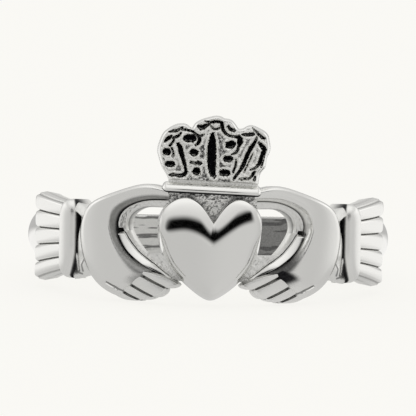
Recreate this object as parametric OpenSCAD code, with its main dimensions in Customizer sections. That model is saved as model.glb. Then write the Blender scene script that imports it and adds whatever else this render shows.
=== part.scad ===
// Claddagh ring: two cuffed hands hold a crowned heart. The whole ring is one silver casting.
// The finger's line is the Z axis of every module, the head faces -Y, and the last step
// tips the ring back until it rests on its side, on both hands and the back of the band.

/* [Band] */
// Diameter of the finger hole
bore_d = 17.3; // [15:0.1:20]
// Width of the band along the finger, behind the head
band_w = 2.4; // [1.8:0.1:3]
// Thickness of the band at the middle of its width
band_t = 1.5; // [1.2:0.05:1.8]
// Thickness of the band at its two edges
band_edge_t = 1; // [0.7:0.05:1.1]
// Bevel on the band's edges next to the finger, which the back of the head follows
band_bevel = 0.12; // [0.05:0.01:0.2]
// How far the back of the head flares away from the finger, in degrees
back_flare = 1.5; // [0.5:0.5:3]

/* [Heart] */
// Width of the heart
heart_w = 6; // [5.2:0.05:6.5]
// Height of the heart from its tip to the top of its lobes
heart_h = 5.7; // [5:0.05:6.1]
// How far the heart's tip hangs below the middle of the band
heart_drop = 3.55; // [3.2:0.05:3.8]
// Thickness from the finger to the heart's rim
heart_rim_t = 1.5; // [1.3:0.05:1.7]
// Thickness from the finger to the heart's highest point
heart_t = 2.3; // [2:0.05:2.8]
// How far the heart's rim lies inside its foot
heart_draft = 0.17; // [0.05:0.01:0.25]
// Thickness from the finger to the grained ground behind the heart's lobes
heart_ground_t = 1.05; // [0.9:0.05:1.2]
// Turn of the heart, clockwise as seen from the front, in degrees
heart_turn = 1.5; // [-5:0.5:5]

/* [Hands] */
// Length of each hand along the band, from the heart's side to the wrist
hand_l = 5.1; // [4.6:0.05:5.5]
// How far the hands reach below the middle of the band
hand_drop = 3.65; // [3.3:0.05:4]
// Thickness from the finger to the back of the hand
hand_t = 1.9; // [1.6:0.05:2.3]
// Thickness at the edges of the hand
hand_edge_t = 1.1; // [0.95:0.05:1.3]
// Thickness of the ledge around the opening between hand and heart
ledge_t = 0.95; // [0.7:0.05:1.05]
// How far the ledge swells into a roll beside the fingers
roll_rise = 0.15; // [0:0.01:0.25]
// Thickness of the web that joins the first fingers to each other behind the heart
web_t = 0.8; // [0.6:0.05:0.9]
// Width of one finger
finger_w = 0.62; // [0.5:0.01:0.75]

/* [Sleeves] */
// Width of the rolled cuff along the band
cuff_w = 1.36; // [1:0.02:1.7]
// Height of the cuff along the finger
cuff_h = 4.4; // [3.8:0.1:5]
// Thickness from the finger to the cuff's crest
cuff_t = 2; // [1.6:0.05:2.4]
// Height of the sleeve's lining between wrist and cuff
lining_h = 4.3; // [3.8:0.1:4.8]
// How far the middle of the lining lies below the middle of the band
lining_drop = 0.35; // [0:0.05:0.5]
// Thickness from the finger to the lining's middle
lining_t = 1.05; // [0.95:0.05:1.3]
// Thickness from the finger to the lining's pleated ends
pleat_t = 1.75; // [1.3:0.05:2]
// Width of the groove between wrist and cuff
wrist_gap = 0.15; // [0:0.05:0.3]
// Number of pleats in the frill behind each cuff
pleats = 5; // [3:1:7]
// Length of the frill along the band
frill_l = 3.35; // [2:0.1:3.5]
// Height of the frill where it leaves the cuff
frill_root_h = 3.7; // [3:0.1:4.2]
// Height of the frill at its free end
frill_end_h = 4.95; // [4:0.05:5.6]
// Thickness from the finger to the crest of a pleat
frill_t = 1.65; // [1.55:0.05:1.9]
// Thickness from the finger to the grooves between pleats
frill_groove_t = 1.2; // [1:0.05:1.4]
// How far the middle of each frill lies below the middle of the band
frill_drop = 0.13; // [0:0.01:0.4]
// How far the middle of each cuff lies below the middle of the band
cuff_drop = 0.25; // [0:0.05:0.4]

/* [Crown] */
// Width of the crown at its foot
crown_foot_w = 5; // [4.4:0.1:5.6]
// Width of the crown at its widest
crown_w = 6.1; // [5.4:0.1:6.8]
// Height of the crown from its foot to the top of the middle lobe
crown_h = 4; // [3.4:0.05:4.6]
// Thickness from the finger to the crown's sunk ground
crown_ground_t = 0.85; // [0.7:0.05:1]
// Thickness from the finger to the crown's rim
crown_t = 1.4; // [1.35:0.05:1.6]
// Thickness from the finger to the crown's leaves
leaf_t = 1.32; // [1.26:0.02:1.34]
// Thickness from the finger to the beads under the crown's lobes
bead_t = 1.22; // [1.18:0.02:1.24]
// Thickness from the finger to the crown's pearls
pearl_t = 1.14; // [1.02:0.02:1.16]
// Distance from the top of the heart's lobes to the middle of the roll under the crown
roll_gap = 0.37; // [0.3:0.01:0.6]
// Height of the plain roll under the crown
roll_h = 0.52; // [0.4:0.02:0.7]
// Thickness from the finger to the roll's crest
roll_t = 1.6; // [1.4:0.05:1.9]
// Height of the grained strip along the crown's foot
crown_foot_h = 0.42; // [0.3:0.02:0.6]
// Thickness from the finger to that strip
crown_foot_t = 1.08; // [0.95:0.01:1.12]
// Radius of the beads under the crown's lobes
bead_r = 0.34; // [0.28:0.01:0.38]
// Width of the raised lines in the crown
line_w = 0.15; // [0.12:0.01:0.2]
// Turn of the crown, clockwise as seen from the front, in degrees
crown_turn = 2; // [-5:0.5:5]

/* [Hidden] */
$fn = 48;

bore_r = bore_d / 2;
face_r = bore_r + band_t;           // lengths along the band are measured on this circle
sunk = 0.9;                         // how deep the foot of each relief lies inside the finger hole
tall = 2 * bore_d;                  // taller than the ring, for cuts
hole_wall = band_w / 2 - band_bevel; // half the length of the finger hole's straight wall
back_t = 1.25 * band_bevel;         // how far the back of the head stands off the finger, at least
cuff_s = heart_w / 2 + hand_l + wrist_gap + cuff_w / 2;
frill_s = cuff_s + cuff_w / 4;      // the frill starts under the cuff
frill_end_s = cuff_s + cuff_w / 2 + frill_l;
frill_overlap = 0.6;                // how far the frill's end lies over the band
heart_top = heart_h - heart_drop;
roll_z = heart_top + roll_gap;      // middle of the roll under the crown
crown_foot_z = roll_z + roll_h / 4;

// Half of the heart's outline from the notch to the tip.
// Columns: across as a share of half the width, up as a share of the height from the tip.
HEART = [
    [0.00, 0.745], [0.09, 0.830], [0.26, 0.945], [0.50, 1.000], [0.76, 0.955], [0.94, 0.850],
    [1.00, 0.720], [0.97, 0.550], [0.85, 0.370], [0.65, 0.235], [0.42, 0.125], [0.20, 0.040],
    [0.00, 0.000],
];
heart_middle = 0.52;                // the crest's height as a share of the heart's
heart_crown = 4.2;                  // how quickly the heart rounds over at its sides and tip
heart_slope = 4;                    // how much slower it rounds over at its lobes

// Sections across the hand, from the thumb's tip round the wrist to the finger roots.
// Columns: outer edge along and up, inner edge along and up, opening's edge along and up,
// crest, and how far the ledge by the opening swells into a roll.
// Along is a share of the hand's length from the heart's side, up a share of the hand's drop,
// and the crest a share of the rise from the hand's edge to its back.
HAND = [
    [-0.10,  0.70, -0.12,  0.54, -0.13,  0.46, 0.45, 0.0],
    [ 0.14,  0.78,  0.12,  0.54,  0.12,  0.45, 0.65, 0.0],
    [ 0.41,  0.71,  0.30,  0.49,  0.25,  0.41, 0.80, 0.0],
    [ 0.68,  0.59,  0.45,  0.39,  0.36,  0.33, 0.95, 0.0],
    [ 0.90,  0.42,  0.53,  0.24,  0.41,  0.22, 1.00, 0.1],
    [ 1.00,  0.06,  0.54,  0.03,  0.40,  0.07, 1.00, 0.9],
    [ 0.94, -0.40,  0.46, -0.18,  0.30, -0.14, 1.00, 1.0],
    [ 0.77, -0.73,  0.34, -0.35,  0.18, -0.30, 0.95, 1.0],
    [ 0.54, -0.91,  0.19, -0.48,  0.05, -0.41, 0.80, 1.0],
    [ 0.28, -1.00, -0.08, -0.66, -0.11, -0.62, 0.25, 0.3],
];
hand_crest = 0.3;                   // where the back of the hand is highest, from its outer edge

// Fingers, from the first to the little one.
// Columns: root along and up, tip along and up, as in the hand's sections, and crest as there.
FINGERS = [
    [0.22, -0.50, -0.20, -0.74, 0.62],
    [0.33, -0.56, -0.07, -0.85, 0.66],
    [0.46, -0.64,  0.07, -0.92, 0.62],
    [0.55, -0.75,  0.20, -0.95, 0.52],
];
finger_tip = 0.2;                   // the share of a finger that rounds off at its tip

// The crown's three lobes. Columns: across and up of the centre, and the radius,
// as shares of half the crown's width, its height and its height.
LOBES = [
    [-0.62, 0.62, 0.265],
    [ 0.03, 0.70, 0.305],
    [ 0.66, 0.63, 0.265],
];

// Beads under each lobe's rim, by their angle round its centre from the right.
LOBE_BEADS = [[95, 160], [42, 90, 138], [30, 95]];

// Pointed leaves standing in the crown. Columns: foot across and up, tip across and up,
// and width, as shares of half the crown's width and of its height.
LEAVES = [
    [-0.52, 0.12, -0.64, 0.70, 0.26],
    [-0.02, 0.12, -0.02, 0.82, 0.36],
    [ 0.44, 0.12,  0.76, 0.71, 0.26],
    [ 0.66, 0.22,  0.86, 0.60, 0.14],
];

// Rows of pearls beside the leaves. Columns: lowest across and up, highest across and up,
// and the lowest and the highest one's radius as a share of half the crown's width.
PEARLS = [
    [-0.73, 0.15, -0.87, 0.49, 0.105, 0.120],
    [-0.30, 0.21, -0.46, 0.67, 0.110, 0.145],
    [ 0.21, 0.21,  0.29, 0.63, 0.115, 0.130],
    [ 0.74, 0.17,  0.94, 0.58, 0.105, 0.105],
];
pearls_in_row = 3;

function mix(a, b, f) = a + (b - a) * f;

// The angle round the finger of a length along the band.
function angle_at(s) = s / face_r * 180 / PI;

// A point from its length along the band, its height and its thickness over the finger.
function on_ring(s, z, t) =
    let(a = angle_at(s)) [(bore_r + t) * sin(a), -(bore_r + t) * cos(a), z];

// The thickness from the finger to the back of the head at a height.
function back_at(z) = back_t + max(0, abs(z) - hole_wall - back_t) * tan(back_flare);

// The point straight below another, inside the finger hole.
function foot_of(p) =
    let(f = (bore_r - sunk) / norm([p[0], p[1]])) [p[0] * f, p[1] * f, p[2]];

// A smooth curve through rows, at u from 0 to one less than their number.
function row_at(rows, i) =
    i < 0 ? 2 * rows[0] - rows[1] :
    i >= len(rows) ? 2 * rows[len(rows) - 1] - rows[len(rows) - 2] : rows[i];
function curve(rows, u) =
    let(i = min(floor(u), len(rows) - 2), f = u - i,
        a = row_at(rows, i - 1), b = row_at(rows, i), c = row_at(rows, i + 1), d = row_at(rows, i + 2))
    b + f / 2 * (c - a + f * (2 * a - 5 * b + 4 * c - d + f * (3 * b - a - 3 * c + d)));

// A closed solid under a grid of points, whose two long edges run down inside the finger hole.
module relief(top) {
    n = len(top);
    m = len(top[0]);
    points = [
        for (row = top) each row,
        for (row = top) foot_of(row[0]),
        for (row = top) foot_of(row[m - 1]),
    ];
    left = n * m;
    right = left + n;
    last = left - m;
    faces = [
        for (i = [0:n - 2], j = [0:m - 2])
            let(a = i * m + j) each [[a, a + m, a + m + 1], [a, a + m + 1, a + 1]],
        for (i = [0:n - 2])
            let(a = i * m, b = a + m - 1, l = left + i, r = right + i) each [
                [l, l + 1, a + m], [l, a + m, a],
                [b, b + m, r + 1], [b, r + 1, r],
                [r, r + 1, l + 1], [r, l + 1, l],
            ],
        for (j = [0:m - 2]) each [[left, j, j + 1], [left + n - 1, last + j + 1, last + j]],
        [left, m - 1, right],
        [left + n - 1, right + n - 1, last + m - 1],
    ];
    polyhedron(points = points, faces = faces, convexity = 6);
}

// Work drawn flat on the front, carried back to a given thickness over the finger.
module front_layer(t) {
    intersection() {
        rotate([90, 0, 0]) linear_extrude(height = bore_r + t + 1) children();
        cylinder(r = bore_r + t, h = tall, center = true, $fn = 96);
    }
}

// The finger hole: its straight wall is as long as the band's. Above and below, it bevels out
// to the back of the head and flares.
module finger_hole() {
    bevel = hole_wall + back_t;
    rotate_extrude($fn = 96)
        polygon([
            [0, -tall / 2], [bore_r + back_at(tall / 2), -tall / 2], [bore_r + back_t, -bevel],
            [bore_r, -hole_wall], [bore_r, hole_wall],
            [bore_r + back_t, bevel], [bore_r + back_at(tall / 2), tall / 2], [0, tall / 2],
        ]);
}

// The plain band, with a rounded outside, from frill to frill.
module band() {
    half = band_w / 2;
    fall = band_t - band_edge_t;
    round_r = (half * half + fall * fall) / (2 * fall);
    start = angle_at(frill_end_s - frill_overlap);
    rotate([0, 0, start - 90])
        rotate_extrude(angle = 360 - 2 * start, $fn = 96)
            intersection() {
                translate([bore_r - sunk, -half]) square([sunk + 2 * band_t, band_w]);
                translate([bore_r + band_t - round_r, 0]) circle(r = round_r, $fn = 64);
            }
}

// The heart: its outline shrinks towards the crest in rings that rise ever more gently.
module heart() {
    steps = 3;
    rings = [0, 0.05, 0.14, 0.3, 0.52, 0.76];
    tip = len(HEART) - 1;
    past_tip = [-HEART[tip - 1][0], HEART[tip - 1][1]];
    half = [for (k = [0:tip * steps]) curve([each HEART, past_tip], k / steps)];
    outline = [
        for (p = half) [p[0] * heart_w / 2, p[1] * heart_h],
        for (k = [len(half) - 2:-1:1]) [-half[k][0] * heart_w / 2, half[k][1] * heart_h],
    ];
    count = len(outline);
    middle = [0, heart_h * heart_middle];
    points = [
        for (p = outline) [p[0], sunk - bore_r, p[1]],
        for (w = rings, p = outline)
            let(way = p - middle, rim = p - way / norm(way) * heart_draft, q = mix(rim, middle, w),
                power = heart_crown - heart_slope * max(0, way[1] / heart_h))
            [q[0], -bore_r - mix(heart_rim_t, heart_t, 1 - pow(1 - w, power)), q[1]],
        [middle[0], -bore_r - heart_t, middle[1]],
        [middle[0], sunk - bore_r, middle[1]],
    ];
    crest = count * (len(rings) + 1);
    faces = [
        for (k = [0:len(rings) - 1], i = [0:count - 1])
            let(a = k * count + i, b = k * count + (i + 1) % count)
            each [[a, b, b + count], [a, b + count, a + count]],
        for (i = [0:count - 1])
            let(j = (i + 1) % count)
            each [[crest - count + i, crest - count + j, crest], [j, i, crest + 1]],
    ];
    translate([0, 0, -heart_drop])
        rotate([0, heart_turn, 0])
            polyhedron(points = points, faces = faces, convexity = 6);
}

function hand_s(share) = heart_w / 2 + share * hand_l;

// Rise across the hand at v, from its outer edge over the crest to its hollow inner side.
function hand_rise(v) =
    let(out = v / hand_crest, in = (v - hand_crest) / (1 - hand_crest))
    v < hand_crest ? sqrt(1 - pow(1 - out, 2)) : 1 - 0.35 * pow(in, 2) - 0.65 * pow(in, 6);

// The back of the hand with the ledge around the opening beside the heart.
module palm() {
    across = [0, 0.03, 0.1, 0.2, 0.35, 0.55, 0.75, 0.88, 0.96, 1];
    steps = 3;
    relief([
        for (k = [0:(len(HAND) - 1) * steps])
            let(c = curve(HAND, k / steps)) [
                for (v = across)
                    on_ring(hand_s(mix(c[0], c[2], v)), hand_drop * mix(c[1], c[3], v),
                            mix(hand_edge_t, hand_t, c[6] * hand_rise(v))),
                for (v = [0, 0.5, 1])
                    on_ring(hand_s(mix(c[2], c[4], v)), hand_drop * mix(c[3], c[5], v),
                            ledge_t + (v == 0.5 ? roll_rise * c[7] : 0)),
            ]
    ]);
}

// One finger, a low roll that rounds off at its tip.
module finger(row) {
    along = [0, 0.3, 0.6, 0.8, 0.9, 0.96, 0.99];
    across = [-1, -0.92, -0.7, -0.35, 0, 0.35, 0.7, 0.92, 1];
    root = [hand_s(row[0]), hand_drop * row[1]];
    tip = [hand_s(row[2]), hand_drop * row[3]];
    way = (tip - root) / norm(tip - root);
    side = [way[1], -way[0]];
    crest_t = mix(hand_edge_t, hand_t, row[4]);
    relief([
        for (u = along)
            let(end = max(0, (u - 1 + finger_tip) / finger_tip), w = sqrt(1 - end * end),
                c = mix(root, tip, u)) [
                for (q = across)
                    let(p = c + side * (q * w * finger_w / 2))
                    on_ring(p[0], p[1], mix(ledge_t, crest_t, mix(w, 1, 1 / 3) * sqrt(1 - q * q)))
            ]
    ]);
}

// The rolled cuff: an upright rod with round ends, on a straight foot.
module cuff() {
    r = cuff_w / 2;
    half = cuff_h / 2;
    foot_w = 0.9 * cuff_w;
    rotate([0, 0, angle_at(cuff_s)])
        translate([0, -(bore_r + cuff_t - r), -cuff_drop]) {
            rotate_extrude()
                intersection() {
                    translate([0, -half]) square([r, cuff_h]);
                    union() {
                        translate([0, half - r]) circle(r = r);
                        translate([0, r - half]) circle(r = r);
                        translate([0, r - half]) square([r, cuff_h - 2 * r]);
                    }
                }
            translate([-foot_w / 2, 0, (r - cuff_h) / 2]) cube([foot_w, cuff_t + sunk - r, cuff_h - r]);
        }
}

// The sleeve's lining that the wrist comes out of: sunk in the middle, with a pleat at each end.
module lining() {
    from = hand_s(0.86);
    wrist_share = 0.78;             // the lining's height at the wrist, as a share of that at the cuff
    bulge = 0.08;
    steps = 14;
    relief([
        for (u = [0:1 / 3:1]) [
            for (k = [0:steps])
                let(q = 2 * k / steps - 1)
                on_ring(mix(from, cuff_s, u) + bulge * cos(180 * q),
                        -lining_drop - q * mix(wrist_share, 1, u) * lining_h / 2,
                        mix(lining_t, pleat_t, pow(q, 4) * sqrt(1 - pow(q, 8))))
        ]
    ]);
}

// The fanned frill behind the cuff: rounded pleats side by side, each with a round end.
module frill() {
    parts = 6;
    root_bulge = 0.15;
    end_round = 0.3;                // how far a pleat's middle reaches past its corners
    end_start = 0.85;               // where the pleats start to fall off towards their ends
    end_fall = 0.8;
    relief([
        for (u = [0, 0.35, 0.7, end_start, 0.94, 1]) [
            for (k = [0:pleats * parts])
                let(q = k / (pleats * parts), f = 2 * (k % parts) / parts - 1, round = 1 - f * f,
                    fall = pow(max(0, u - end_start) / (1 - end_start), 2))
                on_ring(mix(frill_s - root_bulge * round, frill_end_s - end_round * (1 - round), u),
                        mix(frill_root_h, frill_end_h, u) * (0.5 - q) - frill_drop,
                        mix(frill_groove_t, frill_t, sqrt(round) - end_fall * fall * round))
        ]
    ]);
}

// The grained web behind the heart, from one hand's ledge and first finger to the other's.
module web() {
    ledge = HAND[len(HAND) - 3];
    heel = HAND[len(HAND) - 1];
    first = FINGERS[0];
    corners = [
        on_ring(hand_s(ledge[2]), hand_drop * ledge[3], web_t),
        on_ring(hand_s(heel[2]), hand_drop * heel[3], web_t),
        on_ring(hand_s(first[2]), hand_drop * first[3] + finger_w / 3, web_t),
    ];
    front_layer(web_t)
        polygon([for (c = corners) [c[0], c[2]], for (k = [2:-1:0]) [-corners[k][0], corners[k][2]]]);
}

module hand_and_sleeve() {
    palm();
    for (row = FINGERS) finger(row);
    lining();
    cuff();
    frill();
}

function crown_x(share) = share * crown_w / 2;
function crown_z(share) = share * crown_h;

module at_lobe(lobe) {
    translate([crown_x(lobe[0]), crown_z(lobe[1])]) children();
}

// Places its children at each pearl and passes them its radius.
module at_pearls() {
    for (row = PEARLS, k = [0:pearls_in_row - 1])
        let(f = k / (pearls_in_row - 1)) {
            $pearl_r = crown_x(mix(row[4], row[5], f));
            translate([crown_x(mix(row[0], row[2], f)), crown_z(mix(row[1], row[3], f))]) children();
        }
}

module hollow_ring(r) {
    difference() {
        circle(r = r);
        circle(r = r - line_w);
    }
}

// The crown's sunk ground, a little inside its rim and its pearls.
module crown_ground() {
    inset = line_w / 2;
    shoulder = crown_x(0.97) - inset;
    for (l = LOBES) at_lobe(l) circle(r = crown_z(l[2]) - inset);
    at_pearls() circle(r = $pearl_r - inset);
    polygon([
        [-crown_foot_w / 2, 0], [crown_foot_w / 2, 0],
        [shoulder, crown_z(LOBES[0][1])], [-shoulder, crown_z(LOBES[0][1])],
    ]);
}

module crown_rim() {
    difference() {
        for (l = LOBES) at_lobe(l) circle(r = crown_z(l[2]));
        for (l = LOBES) at_lobe(l) circle(r = crown_z(l[2]) - line_w);
        translate([-crown_w, -1]) square([2 * crown_w, crown_z(LOBES[0][1]) + 1]);
    }
}

module lobe_beads() {
    for (i = [0:len(LOBES) - 1], a = LOBE_BEADS[i])
        at_lobe(LOBES[i])
            rotate(a) translate([crown_z(LOBES[i][2]) - line_w / 2 - bead_r, 0]) hollow_ring(bead_r);
}

// Half the width of a pointed arch at a share of its height.
function arch(wide, share) = wide / 2 * (1 - share * share);

// A raised line round a pointed arch, drawn with the middle of its foot at the origin.
module leaf(long, wide) {
    steps = 8;
    slit = wide - 2 * line_w;
    depth = long - 2 * line_w;
    polygon([
        for (k = [0:steps]) [-arch(wide, k / steps), long * k / steps],
        for (k = [steps - 1:-1:0]) [arch(wide, k / steps), long * k / steps],
        for (k = [0:steps]) [arch(slit, k / steps), depth * k / steps],
        for (k = [steps - 1:-1:0]) [-arch(slit, k / steps), depth * k / steps],
    ]);
}

module leaves() {
    for (row = LEAVES) {
        foot = [crown_x(row[0]), crown_z(row[1])];
        way = [crown_x(row[2]), crown_z(row[3])] - foot;
        translate(foot) rotate(-atan(way[0] / way[1])) leaf(norm(way), crown_x(row[4]));
    }
}

// The grained strip along the crown's foot, down to the middle of the roll.
module crown_foot() {
    down = crown_foot_z - roll_z;
    translate([-crown_foot_w / 2, -down]) square([crown_foot_w, down + crown_foot_h]);
}

module crown() {
    translate([0, 0, crown_foot_z])
        rotate([0, crown_turn, 0]) {
            front_layer(crown_ground_t) crown_ground();
            front_layer(crown_foot_t) crown_foot();
            front_layer(crown_t) crown_rim();
            front_layer(leaf_t) leaves();
            front_layer(bead_t) lobe_beads();
            front_layer(pearl_t) at_pearls() hollow_ring($pearl_r);
        }
}

// The plain roll that the crown stands on.
module roll() {
    r = roll_h / 2;
    angle = angle_at(crown_foot_w / 2 + r);
    translate([0, 0, roll_z])
        rotate([0, crown_turn, 0])
            rotate([0, 0, -90 - angle])
                rotate_extrude(angle = 2 * angle, $fn = 96) {
                    translate([bore_r + roll_t - r, 0]) circle(r = r);
                    translate([bore_r - sunk, -r]) square([sunk + roll_t - r, roll_h]);
                }
}

// The grained ground between the heart's lobes, the roll and the thumbs.
module heart_ground() {
    low = heart_top / 3;
    front_layer(heart_ground_t)
        translate([-crown_foot_w / 2, low]) square([crown_foot_w, roll_z - low]);
}

module ring() {
    color("silver")
        difference() {
            union() {
                band();
                heart();
                heart_ground();
                web();
                roll();
                crown();
                hand_and_sleeve();
                mirror([1, 0, 0]) hand_and_sleeve();
            }
            finger_hole();
        }
}

// The ring tips back until the lowest edge of both hands and the back of the band touch the table.
heel = HAND[len(HAND) - 1];
heel_z = hand_drop * heel[1];
heel_point = on_ring(hand_s(heel[0]), heel_z, back_at(heel_z));
rest_tilt = atan((-heel_point[2] - band_w / 2) / (bore_r + band_edge_t - heel_point[1]));

rotate([-rest_tilt, 0, 0]) ring();
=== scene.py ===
"""A claddagh ring cast in sterling silver: two cuffed hands hold a crowned heart.

Shapes are worked out in millimetres in the ring's own frame: Z is the finger's line and
the head faces -Y. placed() tips them back onto the table and turns them to metres.
A place on the head is a length along the band, a height and a thickness over the finger,
s, z and t. In a piece's function u and p run along the piece, and v, q and f across it.
"""

import math

import bpy
import numpy as np
from mathutils import Matrix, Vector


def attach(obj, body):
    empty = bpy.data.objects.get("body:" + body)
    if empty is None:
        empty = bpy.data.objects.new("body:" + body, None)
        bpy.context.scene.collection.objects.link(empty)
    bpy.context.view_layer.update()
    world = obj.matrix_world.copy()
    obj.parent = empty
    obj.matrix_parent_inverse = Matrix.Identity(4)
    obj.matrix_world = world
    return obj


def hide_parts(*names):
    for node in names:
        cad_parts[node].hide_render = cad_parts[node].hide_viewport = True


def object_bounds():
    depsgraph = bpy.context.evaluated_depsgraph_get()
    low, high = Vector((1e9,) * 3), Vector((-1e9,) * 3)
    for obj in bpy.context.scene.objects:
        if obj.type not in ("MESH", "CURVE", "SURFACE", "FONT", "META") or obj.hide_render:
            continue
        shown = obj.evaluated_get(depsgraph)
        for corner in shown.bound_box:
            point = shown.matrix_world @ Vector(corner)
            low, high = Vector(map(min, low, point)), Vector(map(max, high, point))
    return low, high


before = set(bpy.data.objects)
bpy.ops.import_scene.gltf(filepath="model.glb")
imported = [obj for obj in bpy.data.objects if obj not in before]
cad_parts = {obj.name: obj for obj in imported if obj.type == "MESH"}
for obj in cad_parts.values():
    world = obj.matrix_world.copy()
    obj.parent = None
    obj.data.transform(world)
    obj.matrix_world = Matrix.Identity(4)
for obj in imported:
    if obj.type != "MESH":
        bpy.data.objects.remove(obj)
cad_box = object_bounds()

# Band
BORE_R = 8.65                       # the finger hole's radius
BAND_W = 2.4                        # the band's width, along the finger
BAND_T = 1.5                        # its thickness in the middle
BAND_EDGE_T = 1.0                   # and at its edges
BAND_BEVEL = 0.12
BAND_STREAK_T = 0.004               # how deep the streaks inside the band are
FACE_R = BORE_R + BAND_T            # lengths along the band are measured on this circle
BACK_T = 1.25 * BAND_BEVEL          # the back of the head stands this far off the finger
BACK_FLARE = math.tan(math.radians(1.5))
BACK_STEP = 0.004                   # each piece's back lies this much off the last one's

# Heart
HEART_W = 6.0
HEART_H = 5.7
HEART_DROP = 3.55                   # from the band's middle down to the heart's tip
HEART_T = 2.3
HEART_TURN = math.radians(1.5)
HEART_MIDDLE = 0.52                 # the height that the outline shrinks to, as a share
HEART_DRAFT = 0.30                  # how far the wall leans in
HEART_ROLL = 0.135                  # how fast the face rolls back over HEART_BEND, per mm
HEART_LIP = 0.36                    # how far the face falls at its edge
HEART_TOP = HEART_H - HEART_DROP
GROUND_T = 1.05                     # the pebbled ground behind the lobes

# Hands
HAND_L = 5.1                        # from the heart's side to the wrist
HAND_DROP = 3.65                    # from the band's middle down to the fingers' lowest edge
HAND_T = 1.9
HAND_EDGE_T = 1.1
LEDGE_T = 0.95
FINGER_W = 0.62
WEB_T = 0.8

# Sleeves
CUFF_W = 1.36
CUFF_H = 4.4
CUFF_T = 2.0
CUFF_DROP = 0.25                    # from the band's middle down to the cuff's
LINING_H = 4.3
LINING_DROP = 0.35
WRIST_GAP = 0.15
PLEATS = 5
FRILL_L = 3.35                      # what shows of the frill past the cuff
FRILL_ROOT_H = 3.7
FRILL_END_H = 4.95
FRILL_T = 1.65
FRILL_GROOVE_T = 1.05
FRILL_DROP = 0.13
CUFF_S = HEART_W / 2 + HAND_L + WRIST_GAP + CUFF_W / 2
FRILL_S = CUFF_S + CUFF_W / 4
FRILL_END_S = CUFF_S + CUFF_W / 2 + FRILL_L

# Crown and the roll under it
CROWN_FOOT_W = 5.0
CROWN_FOOT_H = 0.42
CROWN_FOOT_T = 1.08
CROWN_T = 1.22                      # between the border and the cuts
CROWN_BORDER = 0.17
CROWN_TURN = math.radians(2.0)
ROLL_GAP = 0.37
ROLL_H = 0.52
ROLL_T = 1.6
ROLL_Z = HEART_TOP + ROLL_GAP
CROWN_Z = ROLL_Z + ROLL_H / 4

# The camera
PHOTO_PX = 416                      # the photograph's width and height
HEAD_PX_PER_MM = 18.1
RING_PX_RIGHT, RING_PX_DOWN = 0.1, 28.4     # the ring's middle, from the photograph's
CAMERA_AWAY = 450.0                 # in front of the finger's line
HEAD_AWAY = CAMERA_AWAY - 9.5       # from the camera to the head

# Half of the heart's outline from the notch to the tip: across and up, as shares.
HEART = [
    (0.00, 0.765), (0.09, 0.838), (0.26, 0.945), (0.50, 1.000), (0.76, 0.955), (0.94, 0.850),
    (1.00, 0.720), (0.97, 0.550), (0.85, 0.370), (0.65, 0.235), (0.42, 0.125), (0.20, 0.040),
    (0.00, 0.000),
]
# Where the heart's face begins to roll back towards its lobes: across and up from the band's
# middle, in mm.
HEART_BEND = np.array([
    (-3.1, -0.22), (-2.3, -0.15), (-1.48, -0.06), (-0.65, -0.32), (-0.12, -0.66), (0.16, -0.66),
    (0.73, -0.22), (1.56, 0.34), (2.39, 0.58), (3.1, 0.58),
])
# Sections of the hand from the thumb's tip round the wrist to the finger roots: outer edge,
# inner edge and opening's edge, each along and up, then the crest, as shares.
HAND = np.array([
    [-0.10,  0.70, -0.12,  0.54, -0.13,  0.42, 0.45],
    [ 0.14,  0.78,  0.12,  0.54,  0.12,  0.43, 0.65],
    [ 0.41,  0.71,  0.30,  0.49,  0.25,  0.41, 0.80],
    [ 0.68,  0.59,  0.45,  0.39,  0.36,  0.33, 0.95],
    [ 0.90,  0.42,  0.53,  0.24,  0.41,  0.22, 1.00],
    [ 1.00,  0.06,  0.52,  0.05,  0.40,  0.07, 1.00],
    [ 0.94, -0.40,  0.42, -0.19,  0.29, -0.14, 1.00],
    [ 0.77, -0.73,  0.29, -0.36,  0.17, -0.29, 0.95],
    [ 0.54, -0.91,  0.13, -0.50,  0.03, -0.42, 0.80],
    [ 0.28, -1.00, -0.13, -0.65, -0.14, -0.62, 0.25],
])
PALM_END = 8.28                     # the section at which the palm meets the fingers
KNUCKLE_L = 0.30                    # the palm dips over this much of a section before them
LEDGE_NOTCH = (4.74, 4.96)          # the sections between which the notch lies
LEDGE_ROLL = 4.98                   # the section from which the ledge is a plain roll
PALM_CREST = 0.3                    # the crest's place across a section
# How far across each section the palm's brim lies, from which it hollows towards the opening.
PALM_BRIM = [0.42, 0.56, 0.58, 0.74, 0.92, 0.93, 0.87, 0.77, 0.64, 0.60]
# A crease over the little finger's knuckle: along, up and half its width, in mm.
PALM_CREASE = [(5.93, -2.62, 0.01), (5.45, -2.86, 0.03), (5.00, -3.12, 0.03)]
# Lines along the fingers, as shares: the first one's upper edge, the three grooves between
# fingers and the little one's lower edge, each from the knuckles to the tips.
FINGER_LINES = np.array([
    [(0.255, -0.530), (0.076, -0.555), (-0.140, -0.650), (-0.225, -0.715)],
    [(0.275, -0.535), (0.165, -0.620), (0.035, -0.710), (-0.080, -0.785)],
    [(0.405, -0.678), (0.285, -0.773), (0.165, -0.860), (0.055, -0.930)],
    [(0.578, -0.713), (0.460, -0.805), (0.330, -0.905), (0.210, -0.975)],
    [(0.689, -0.790), (0.500, -0.930), (0.370, -0.985), (0.240, -0.995)],
])
FINGER_TIPS = (0.24, 0.26, 0.14, 0.05)      # how far each finger reaches past its grooves' ends
FINGER_T = (1.50, 1.52, 1.50, 1.44)
# Creases in the soft pleat of the sleeve: along, down and half the width, in mm.
PLEAT_CREASES = [
    [(0.25, 1.05, 0.0), (0.55, 1.45, 0.02), (0.50, 1.85, 0.02)],
    [(0.75, 1.75, 0.01), (1.05, 1.80, 0.02), (0.60, 1.98, 0.02)],
]

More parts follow.
